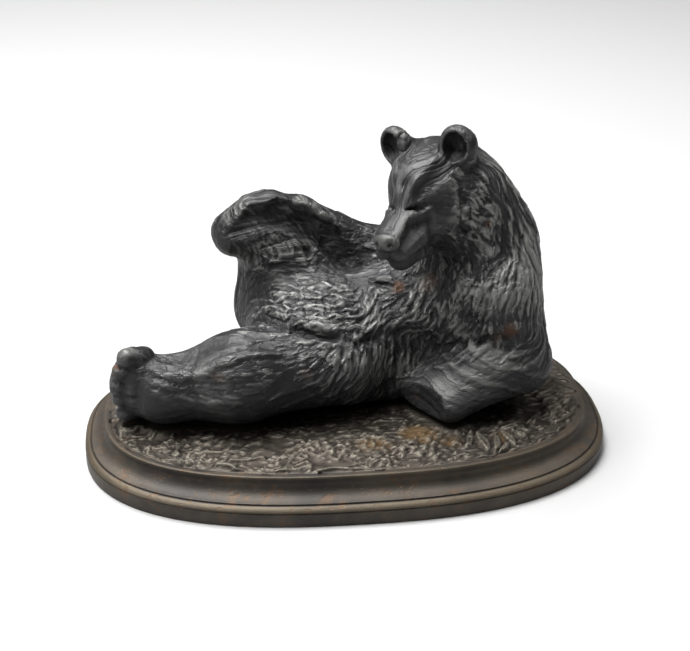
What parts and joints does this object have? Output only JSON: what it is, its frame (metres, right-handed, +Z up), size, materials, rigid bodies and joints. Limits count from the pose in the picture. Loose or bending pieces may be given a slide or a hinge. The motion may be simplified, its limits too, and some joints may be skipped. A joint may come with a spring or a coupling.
{
  "type": "reclining bear sculpture",
  "caption": "Cast iron sculpture of a bear lying back and holding its raised hind foot, on an oval base with a moulded edge and modelled ground.",
  "frame": {"origin": "middle of the base's underside", "axes": "+X from the stretched foot towards the bear's back, -Y towards the side the bear looks out on, +Z up"},
  "size_m": [0.246, 0.15, 0.158],
  "materials": {
    "bear": "dark grey-black patina, rubbed to a cold sheen on the high forms, brown rust in places",
    "base": "olive-brown patina, rubbed to golden brown along the edge lines"
  },
  "bodies": {
    "root": {"base": "base", "bear": "bear"}
  },
  "joints": []
}
